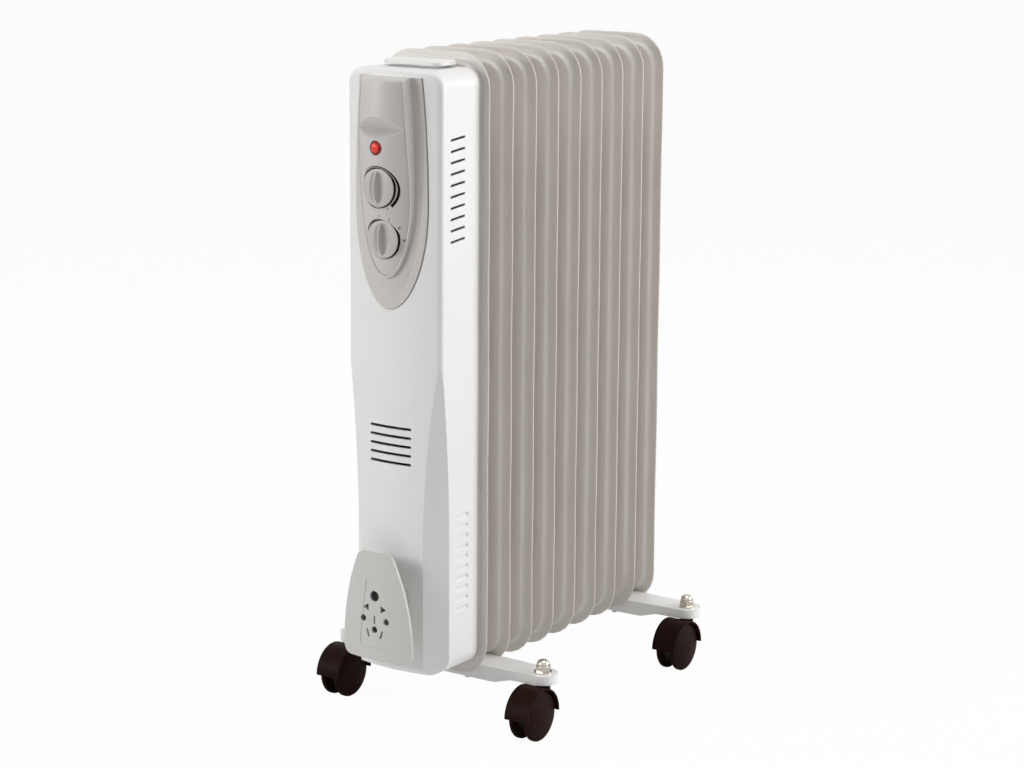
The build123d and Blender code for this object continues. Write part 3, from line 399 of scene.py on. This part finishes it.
NECK_BEAD = 0.5
NECK_BEAD_START = 0.7
NECK_BEAD_FULL = 0.4
NECK_SIDES = 48


def soft_step(value):
    """A step from 0 to 1 without corners."""
    value = min(1.0, max(0.0, value))
    return value * value * (3 - 2 * value)


def face_height(x, z, inset):
    """How far a fin's face stands from the fin's middle plane."""
    for (outer, low), (inner, high) in zip(RIM_ROUND, RIM_ROUND[1:]):
        if inset <= inner:
            return low + (high - low) * (inset - outer) / (inner - outer)
    step = soft_step((inset - STEP_START) / (STEP_END - STEP_START))
    across = soft_step((abs(abs(x) - WEB_OFFSET) - WEB_HALF_WIDTH) / WEB_SLOPE)
    along = soft_step((abs(z) - WEB_HALF_LENGTH + WEB_SLOPE) / WEB_SLOPE)
    dimple = 1 - soft_step(hypot(abs(x) - DIMPLE_X, abs(z) - DIMPLE_Z) / DIMPLE_RADIUS)
    rise = min(step, max(across, along))
    return RIM_HALF + (CHANNEL_TOP - RIM_HALF) * rise - DIMPLE_DEPTH * dimple


def field_rows():
    """Each row of the fin's flat field, from the bottom up: height, half width and outward direction."""
    upper = [(z, FIELD_HALF_WIDTH, (1, 0)) for z in FIELD_ROWS]
    for step in range(1, CORNER_STEPS + 1):
        angle = pi / 2 * step / CORNER_STEPS
        z = FIELD_HALF_HEIGHT - FIELD_CORNER * (1 - sin(angle))
        width = FIELD_HALF_WIDTH - FIELD_CORNER * (1 - cos(angle))
        upper.append((z, width, (cos(angle), sin(angle))))
    lower = [(-z, width, (out_x, -out_z)) for z, width, (out_x, out_z) in reversed(upper[1:])]
    return lower + upper


def make_fin(number):
    """One fin: a grid for its field on both faces, rings out to its rim, and necks to its neighbours."""
    rows = field_rows()
    columns = [-x for x in reversed(FIELD_COLUMNS[1:])] + list(FIELD_COLUMNS)
    top, right = len(rows) - 1, len(columns) - 1
    border = [(0, column) for column in range(right + 1)]
    border += [(row, right) for row in range(1, top)]
    border += [(top, column) for column in reversed(range(right + 1))]
    border += [(row, 0) for row in reversed(range(1, top))]
    points, faces = [], []

    def add(x, z, inset, side):
        wave = RIM_WAVE * sin(z / RIM_WAVE_LENGTH + RIM_WAVE_SHIFT * number)
        y = side * face_height(x, z, inset) + wave * (1 - soft_step(inset / STEP_START))
        points.append(Vector((x, y, z)) * MM)
        return len(points) - 1

    def field_x(row, column):
        return columns[column] * rows[row][1] / FIELD_HALF_WIDTH

    def ring(inset, side):
        found = []
        for row, column in border:
            z, _, (out_x, out_z) = rows[row]
            if row in (0, top):
                out_x = 0
            elif column == 0:
                out_x = -out_x
            reach = FIELD_INSET - inset
            found.append(add(field_x(row, column) + out_x * reach, z + out_z * reach, inset, side))
        return found

    edge = ring(0, 1)
    insets = [inset for inset, _ in RIM_ROUND[1:]] + list(STEP_INSETS)
    for side in (-1, 1):
        grid = []
        for row, (z, _, _) in enumerate(rows):
            grid.append([add(field_x(row, column), z, FIELD_INSET, side) for column in range(right + 1)])
        rings = [edge]
        rings += [ring(inset, side) for inset in insets]
        rings.append([grid[row][column] for row, column in border])
        for outer, inner in zip(rings, rings[1:]):
            for here in range(len(border)):
                after = (here + 1) % len(border)
                faces.append((outer[here], outer[after], inner[after], inner[here]))
        for low, high in zip(grid, grid[1:]):
            for column in range(right):
                faces.append((low[column], low[column + 1], high[column + 1], high[column]))

    reach = FIN_PITCH / MM / 2
    profile = [(NECK_RADIUS + NECK_FILLET, CHANNEL_TOP - NECK_SINK)]
    for step in range(NECK_FILLET_STEPS + 1):
        angle = pi / 2 * step / NECK_FILLET_STEPS
        radius = NECK_RADIUS + NECK_FILLET * (1 - sin(angle))
        profile.append((radius, CHANNEL_TOP + NECK_FILLET * (1 - cos(angle))))
    profile.append((NECK_RADIUS, reach - NECK_BEAD_START))
    profile.append((NECK_RADIUS + NECK_BEAD, reach - NECK_BEAD_FULL))
    profile.append((NECK_RADIUS + NECK_BEAD, reach))
    profile = [(radius * MM, along * MM) for radius, along in profile]
    for side in (-1, 1):
        if number == (1 if side < 0 else FIN_COUNT):
            continue
        for z in (-NECK_Z, NECK_Z):
            add_turned(points, faces, profile, NECK_SIDES, Vector((0, 0, z * MM)), Vector((0, side, 0)))

    place = (0, FIN_1_Y + (number - 1) * FIN_PITCH, FIN_MIDDLE_Z)
    fin = make_piece(f"pressed_fin_{number}", points, faces, FINISHES["fin_paint"], place)
    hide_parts(f"fin_{number}")


for fin_number in range(1, FIN_COUNT + 1):
    make_fin(fin_number)

# Pilot lens: a cut red jewel on the round body of the CAD lens, its inner facets brighter red as a
# painted glow
LENS_SIDES = 20
LENS_CUTS = ((0.97, 0.10), (0.82, 0.45), (0.64, 0.72), (0.45, 0.90), (0.22, 1.0))
# How many inner rings of facets take the painted glow
LENS_GLOW_RINGS = 2
LENS_RISE = 2.6 * MM


def make_lens():
    """The lens as a jewel: a plain round body, then rings of facets up to a small flat table, whose
    inner rings take a painted glow.
    """
    low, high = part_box("pilot_lens")
    radius = (high.x - low.x) / 2
    depth = high.y - low.y
    profile = [(radius, 0), (radius, depth - LENS_RISE)]
    profile += [(radius * share, depth - LENS_RISE * (1 - rise)) for share, rise in LENS_CUTS]
    points, faces = [], []
    place = Vector((0, high.y, middle("pilot_lens").z))
    add_turned(points, faces, profile, LENS_SIDES, place, Vector((0, -1, 0)))
    lens = make_piece("cut_lens", points, faces, FINISHES["red_lens"], smooth=False)
    # The inner rings of facets take the brighter red of the painted glow
    lens.data.materials.append(LENS_PAINTED_GLOW)
    rim_faces = LENS_SIDES * (len(profile) - 1 - LENS_GLOW_RINGS)
    for face in lens.data.polygons[rim_faces:]:
        face.material_index = 1
    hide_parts("pilot_lens")


make_lens()

# Knobs: a domed disc with a finger scoop on each side of a narrow ridge. Lengths are in millimetres from
# the middle of a knob's back, and the last row's angle in degrees.
KNOB_EDGE = 0.5
KNOB_RIM = 2.6
KNOB_DOME = 1.8
KNOB_FOOT = 0.2
KNOB_UNDERCUT = 2.4
SCOOP_X = 5.4
SCOOP_WIDTH = 9.4
SCOOP_DEPTH = 2.0
RIDGE_HOLLOW = 3
RIDGE_HALF_LENGTH = 14.2
RIDGE_END_SHARE = 0.35
KNOB_ROWS = 36
KNOB_COLUMNS = 24
KNOB_LAST_ROW = 86
KNOB_CROWDING = 1.7
SHAFT_REACH = 1.2
SHAFT_SIDES = 32


def knob_height(x, z, radius, crest):
    """How far a knob's face is from its back: the ridge falls to a scoop, which rises to the disc."""
    disc = KNOB_RIM + KNOB_DOME * (1 - (hypot(x, z) / radius) ** 2)
    share = sqrt(max(0.0, 1 - (z / RIDGE_HALF_LENGTH) ** 2))
    aside = abs(x) / (RIDGE_END_SHARE + (1 - RIDGE_END_SHARE) * share)
    ridge = crest - KNOB_RIM - KNOB_DOME + SCOOP_DEPTH
    if aside < SCOOP_X:
        relief = ridge * (1 - aside / SCOOP_X) ** RIDGE_HOLLOW - SCOOP_DEPTH
    else:
        relief = SCOOP_DEPTH * (soft_step((aside - SCOOP_X) / (SCOOP_WIDTH - SCOOP_X)) - 1)
    return disc + relief * share


def make_knob(control):
    """A knob: a grid for its face, with columns crowded at the ridge, and a rim drawn in to the back."""
    low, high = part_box(f"{control}_knob")
    radius = (high.x - low.x) / 2 / MM
    crest = (high.y - low.y) / MM
    face_radius = radius - KNOB_EDGE
    points, faces, grid = [], [], []
    shares = [step / KNOB_COLUMNS for step in range(-KNOB_COLUMNS, KNOB_COLUMNS + 1)]
    for row in range(KNOB_ROWS + 1):
        angle = radians(KNOB_LAST_ROW * (2 * row / KNOB_ROWS - 1))
        z = face_radius * sin(angle)
        grid.append([])
        for share in shares:
            x = face_radius * cos(angle) * share * abs(share) ** (KNOB_CROWDING - 1)
            grid[-1].append(len(points))
            points.append(Vector((x, -knob_height(x, z, face_radius, crest), z)) * MM)
    for lower, upper in zip(grid, grid[1:]):
        for column in range(len(shares) - 1):
            faces.append((lower[column], lower[column + 1], upper[column + 1], upper[column]))
    border = grid[0] + [row[-1] for row in grid[1:-1]]
    border += grid[-1][::-1] + [row[0] for row in grid[-2:0:-1]]
    rings = [border]
    outline = ((radius, KNOB_RIM - KNOB_EDGE), (radius - KNOB_UNDERCUT, KNOB_FOOT))
    for ring_radius, height in outline:
        ring = []
        for corner in border:
            ring.append(len(points))
            x, _, z = points[corner] * (ring_radius / face_radius)
            points.append(Vector((x, -height * MM, z)))
        rings.append(ring)
    for outer, inner in zip(rings, rings[1:]):
        for here in range(len(border)):
            after = (here + 1) % len(border)
            faces.append((outer[here], outer[after], inner[after], inner[here]))
    faces.append(tuple(rings[-1]))
    place = (0, high.y, (low.z + high.z) / 2)
    name, body = f"scooped_{control}_knob", f"{control}_dial"
    finish = FINISHES["knob_plastic"]
    knob = make_piece(name, points, faces, finish, place, body=body)
    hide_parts(f"{control}_knob")


def make_shaft(control):
    """A knob's shaft, cut short so that it stays under the scoops."""
    low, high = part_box(f"{control}_shaft")
    length = high.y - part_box(f"{control}_knob")[1].y + SHAFT_REACH * MM
    radius = (high.x - low.x) / 2
    profile = [(radius, 0), (radius, length)]
    points, faces = [], []
    place = Vector((0, high.y, (low.z + high.z) / 2))
    add_turned(points, faces, profile, SHAFT_SIDES, place, Vector((0, -1, 0)))
    name, body = f"short_{control}_shaft", f"{control}_dial"
    shaft = make_piece(name, points, faces, FINISHES["steel"], body=body)
    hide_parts(f"{control}_shaft")


for control_name in ("thermostat", "power"):
    make_knob(control_name)
    make_shaft(control_name)

# Castor wheels: a narrow tread and a domed outer face with two fine rings. Lengths are in millimetres.
# The rings' places and the dome's reach are shares of the radius, and the dome's other points keep clear
# of a ring by a multiple of its half width.
WHEEL_TREAD = 3.4
WHEEL_EDGE = 0.8
WHEEL_CAP = 1.0
WHEEL_RINGS = (0.80, 0.52)
WHEEL_RING_HALF = 0.4
WHEEL_RING_CLEAR = 1.5
WHEEL_RING_DEPTH = 0.3
WHEEL_DOME_REACH = 0.94
WHEEL_DOME_STEPS = 12
WHEEL_SIDES = 72
BORE_PLAY = 0.2


def make_wheel(castor, side):
    """One wheel, turned about its axle: a blind bore, the tread and the dome."""
    node = f"{castor}_{side}_wheel"
    low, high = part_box(node)
    axle_low, axle_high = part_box(f"{castor}_axle")
    outward = 1 if side == "right" else -1
    inner_x = low.x if outward > 0 else high.x
    axle_end = axle_high.x if outward > 0 else axle_low.x
    radius = (high.z - low.z) / 2 / MM
    width = (high.x - low.x) / MM
    bore = (axle_high.z - axle_low.z) / 2 / MM + BORE_PLAY
    bore_depth = min(width - WHEEL_CAP, abs(axle_end - inner_x) / MM + BORE_PLAY)

    def dome(share):
        return WHEEL_TREAD + (width - WHEEL_TREAD) * (1 - share**2)

    profile = [(bore, bore_depth), (bore, 0), (radius - WHEEL_EDGE, 0), (radius, WHEEL_EDGE)]
    profile.append((radius, WHEEL_TREAD - WHEEL_EDGE / 2))
    outline = []
    for step in range(WHEEL_DOME_STEPS + 1):
        share = 1 - WHEEL_EDGE / 2 / radius - step / WHEEL_DOME_STEPS * WHEEL_DOME_REACH
        outline.append((share, dome(share)))
    half = WHEEL_RING_HALF / radius
    for ring in WHEEL_RINGS:
        outline = [point for point in outline if abs(point[0] - ring) > WHEEL_RING_CLEAR * half]
        outline.append((ring + half, dome(ring + half)))
        outline.append((ring, dome(ring) - WHEEL_RING_DEPTH))
        outline.append((ring - half, dome(ring - half)))
    profile += [(share * radius, along) for share, along in sorted(outline, reverse=True)]
    profile = [(across * MM, along * MM) for across, along in profile]
    points, faces = [], []
    place = Vector((inner_x, (low.y + high.y) / 2, (low.z + high.z) / 2))
    add_turned(points, faces, profile, WHEEL_SIDES, place, Vector((outward, 0, 0)))
    finish = FINISHES["castor_plastic"]
    wheel = make_piece(f"domed_{node}", points, faces, finish, body=node)
    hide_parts(node)


for castor_name in [name for name in frame["bodies"] if name.endswith("_castor")]:
    for wheel_side in ("left", "right"):
        make_wheel(castor_name, wheel_side)

# Printed marks on the panel: the thermostat's scale with its end dot and the power steps, and dark rings
# of painted shadow in the knobs' seats. Lengths are in millimetres unless MM makes them metres, and
# angles are in degrees, clockwise from a knob's top.
INK_LIFT = 0.05 * MM
INK_THICKNESS = 0.08 * MM
SCALE_FROM, SCALE_TO = -46, 140
SCALE_INNER = 19.1
SCALE_OUTER_FROM, SCALE_OUTER_TO = 19.3, 21.6
SCALE_STEPS = 62
DOT_ANGLE = 152
DOT_PLACE_RADIUS = 20.4
DOT_RADIUS = 0.55
DOT_HOLE = 0.0275
STEP_MARK_RADIUS = 21.2
STEP_MARK_ANGLES = (0, 28, 58, 90)
STROKE_HALF_HEIGHT = 1.15
STROKE_HALF_WIDTH = 0.28
STROKE_PITCH = 1.0
# The dark rings in the knobs' seats are painted shadow: the shade of the gap under each knob's undercut
# rim
SEAT_SHADOW_INNER, SEAT_SHADOW_OUTER = 14.4, 17.85
SEAT_SHADOW_FROM, SEAT_SHADOW_TO = -48, 192
SEAT_SHADOW_STEPS = 60
RING_RADIUS = 0.95
RING_HALF_WIDTH = 0.2
ROUND_SIDES = 20
RAY_START_Y = cad_box[0].y - 10 * MM
panel_mesh = nodes["control_panel"].data
panel_tree = BVHTree.FromPolygons(
    [vertex.co for vertex in panel_mesh.vertices], [polygon.vertices for polygon in panel_mesh.polygons]
)


def on_panel(x, z):
    """The point of the panel's front at x and z in metres, just proud of it."""
    place, normal, _, _ = panel_tree.ray_cast(Vector((x, RAY_START_Y, z)), Vector((0, 1, 0)))
    return place + normal * INK_LIFT


def around(knob_z, angle, radius):
    """A point beside a knob, in metres."""
    return radius * sin(radians(angle)) * MM, knob_z + radius * cos(radians(angle)) * MM


def make_print(name, strips, material):
    """Printed strips, and strips of painted shadow, laid on the panel: each strip is a list of pairs of
    points, across it.
    """
    points, faces = [], []
    for strip in strips:
        first = len(points)
        for pair in strip:
            points += [on_panel(x, z) for x, z in pair]
        for step in range(len(strip) - 1):
            here = first + 2 * step
            faces.append((here, here + 1, here + 3, here + 2))
    ink = make_piece(name, points, faces, material)
    film = ink.modifiers.new("film", "SOLIDIFY")
    film.thickness = INK_THICKNESS
    film.offset = -1.0


def round_strip(x, z, inner, outer):
    """A strip that goes once round a point: a ring, or a dot where inner is next to nothing."""
    strip = []
    for side in range(ROUND_SIDES + 1):
        turn = 2 * pi * side / ROUND_SIDES
        strip.append([(x + r * MM * sin(turn), z + r * MM * cos(turn)) for r in (inner, outer)])
    return strip


def stroke_strip(x, z):
    """An upright stroke."""
    width, height = STROKE_HALF_WIDTH * MM, STROKE_HALF_HEIGHT * MM
    return [[(x - width, z + end), (x + width, z + end)] for end in (-height, 0, height)]


def make_marks():
    """The thermostat's scale, a painted shadow ring in each knob's seat, and the power knob's ring and
    one to three strokes.
    """
    scale = []
    for step in range(SCALE_STEPS + 1):
        share = step / SCALE_STEPS
        angle = SCALE_FROM + (SCALE_TO - SCALE_FROM) * share
        outer = SCALE_OUTER_FROM + (SCALE_OUTER_TO - SCALE_OUTER_FROM) * share
        scale.append([around(THERMOSTAT_Z, angle, radius) for radius in (SCALE_INNER, outer)])
    x, z = around(THERMOSTAT_Z, DOT_ANGLE, DOT_PLACE_RADIUS)
    dot = round_strip(x, z, DOT_HOLE, DOT_RADIUS)
    make_print("thermostat_scale", [scale, dot], INK_AND_PAINTED_SHADOW)
    # A dark ring is painted in each knob's seat with the ink, as the shadow of the gap under the knob
    for control, knob_z in (("thermostat", THERMOSTAT_Z), ("power", POWER_Z)):
        seat = []
        for step in range(SEAT_SHADOW_STEPS + 1):
            angle = SEAT_SHADOW_FROM + (SEAT_SHADOW_TO - SEAT_SHADOW_FROM) * step / SEAT_SHADOW_STEPS
            seat.append([around(knob_z, angle, radius) for radius in (SEAT_SHADOW_INNER, SEAT_SHADOW_OUTER)])
        make_print(f"{control}_painted_seat_shadow", [seat], INK_AND_PAINTED_SHADOW)
    for strokes, angle in enumerate(STEP_MARK_ANGLES):
        x, z = around(POWER_Z, angle, STEP_MARK_RADIUS)
        if strokes == 0:
            ring = round_strip(x, z, RING_RADIUS - RING_HALF_WIDTH, RING_RADIUS + RING_HALF_WIDTH)
            make_print("power_mark_off", [ring], PALE_INK)
            continue
        left = x - STROKE_PITCH * MM * (strokes - 1) / 2
        strips = [stroke_strip(left + STROKE_PITCH * MM * stroke, z) for stroke in range(strokes)]
        make_print(f"power_mark_{strokes}", strips, INK_AND_PAINTED_SHADOW)


make_marks()

# Tongue: a fine moulded bead along its border. Lengths are in millimetres.
BEAD_RADIUS = 1.3
BEAD_SIDES = 10
BEAD_INSET = 0.9
BEAD_STEPS = 40
TONGUE_HALF_WIDTH = 28.8 - BEAD_INSET
TONGUE_TOP_HALF_WIDTH = 24.2 - BEAD_INSET
TONGUE_WIDE_DROP = 99.0
TONGUE_TIP_DROP = 80.0 - BEAD_INSET
PANEL_TOP_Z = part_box("control_panel")[1].z / MM


def tongue_border():
    """Points on the right border of the tongue, from its top to its tip, in millimetres."""
    border = []
    wide_z = PANEL_TOP_Z - TONGUE_WIDE_DROP
    for step in range(BEAD_STEPS):
        share = 1 - step / BEAD_STEPS
        x = TONGUE_HALF_WIDTH - (TONGUE_HALF_WIDTH - TONGUE_TOP_HALF_WIDTH) * share**2
        border.append((x, wide_z + TONGUE_WIDE_DROP * share - BEAD_RADIUS * share))
    for step in range(BEAD_STEPS + 1):
        angle = pi / 2 * step / BEAD_STEPS
        border.append((TONGUE_HALF_WIDTH * cos(angle), wide_z - TONGUE_TIP_DROP * sin(angle)))
    return border


def make_bead():
    """A round bead, half sunk in the panel, down one side of the tongue and up the other."""
    right = tongue_border()
    left = [(-x, z) for x, z in reversed(right[:-1])]
    route = [on_panel(x * MM, z * MM) for x, z in right + left]
    points, faces = [], []
    for here, place in enumerate(route):
        along = (route[min(here + 1, len(route) - 1)] - route[max(here - 1, 0)]).normalized()
        across = along.cross(Vector((0, -1, 0))).normalized()
        front = across.cross(along)
        for side in range(BEAD_SIDES):
            angle = 2 * pi * side / BEAD_SIDES
            points.append(place + (across * cos(angle) + front * sin(angle)) * BEAD_RADIUS * MM)
    for here in range(len(route) - 1):
        for side in range(BEAD_SIDES):
            after = (side + 1) % BEAD_SIDES
            low, high = here * BEAD_SIDES, (here + 1) * BEAD_SIDES
            faces.append((low + side, low + after, high + after, high + side))
    faces.append(tuple(range(BEAD_SIDES)))
    faces.append(tuple(range(len(points) - BEAD_SIDES, len(points))))
    make_piece("tongue_bead", points, faces, FINISHES["panel_plastic"])


make_bead()
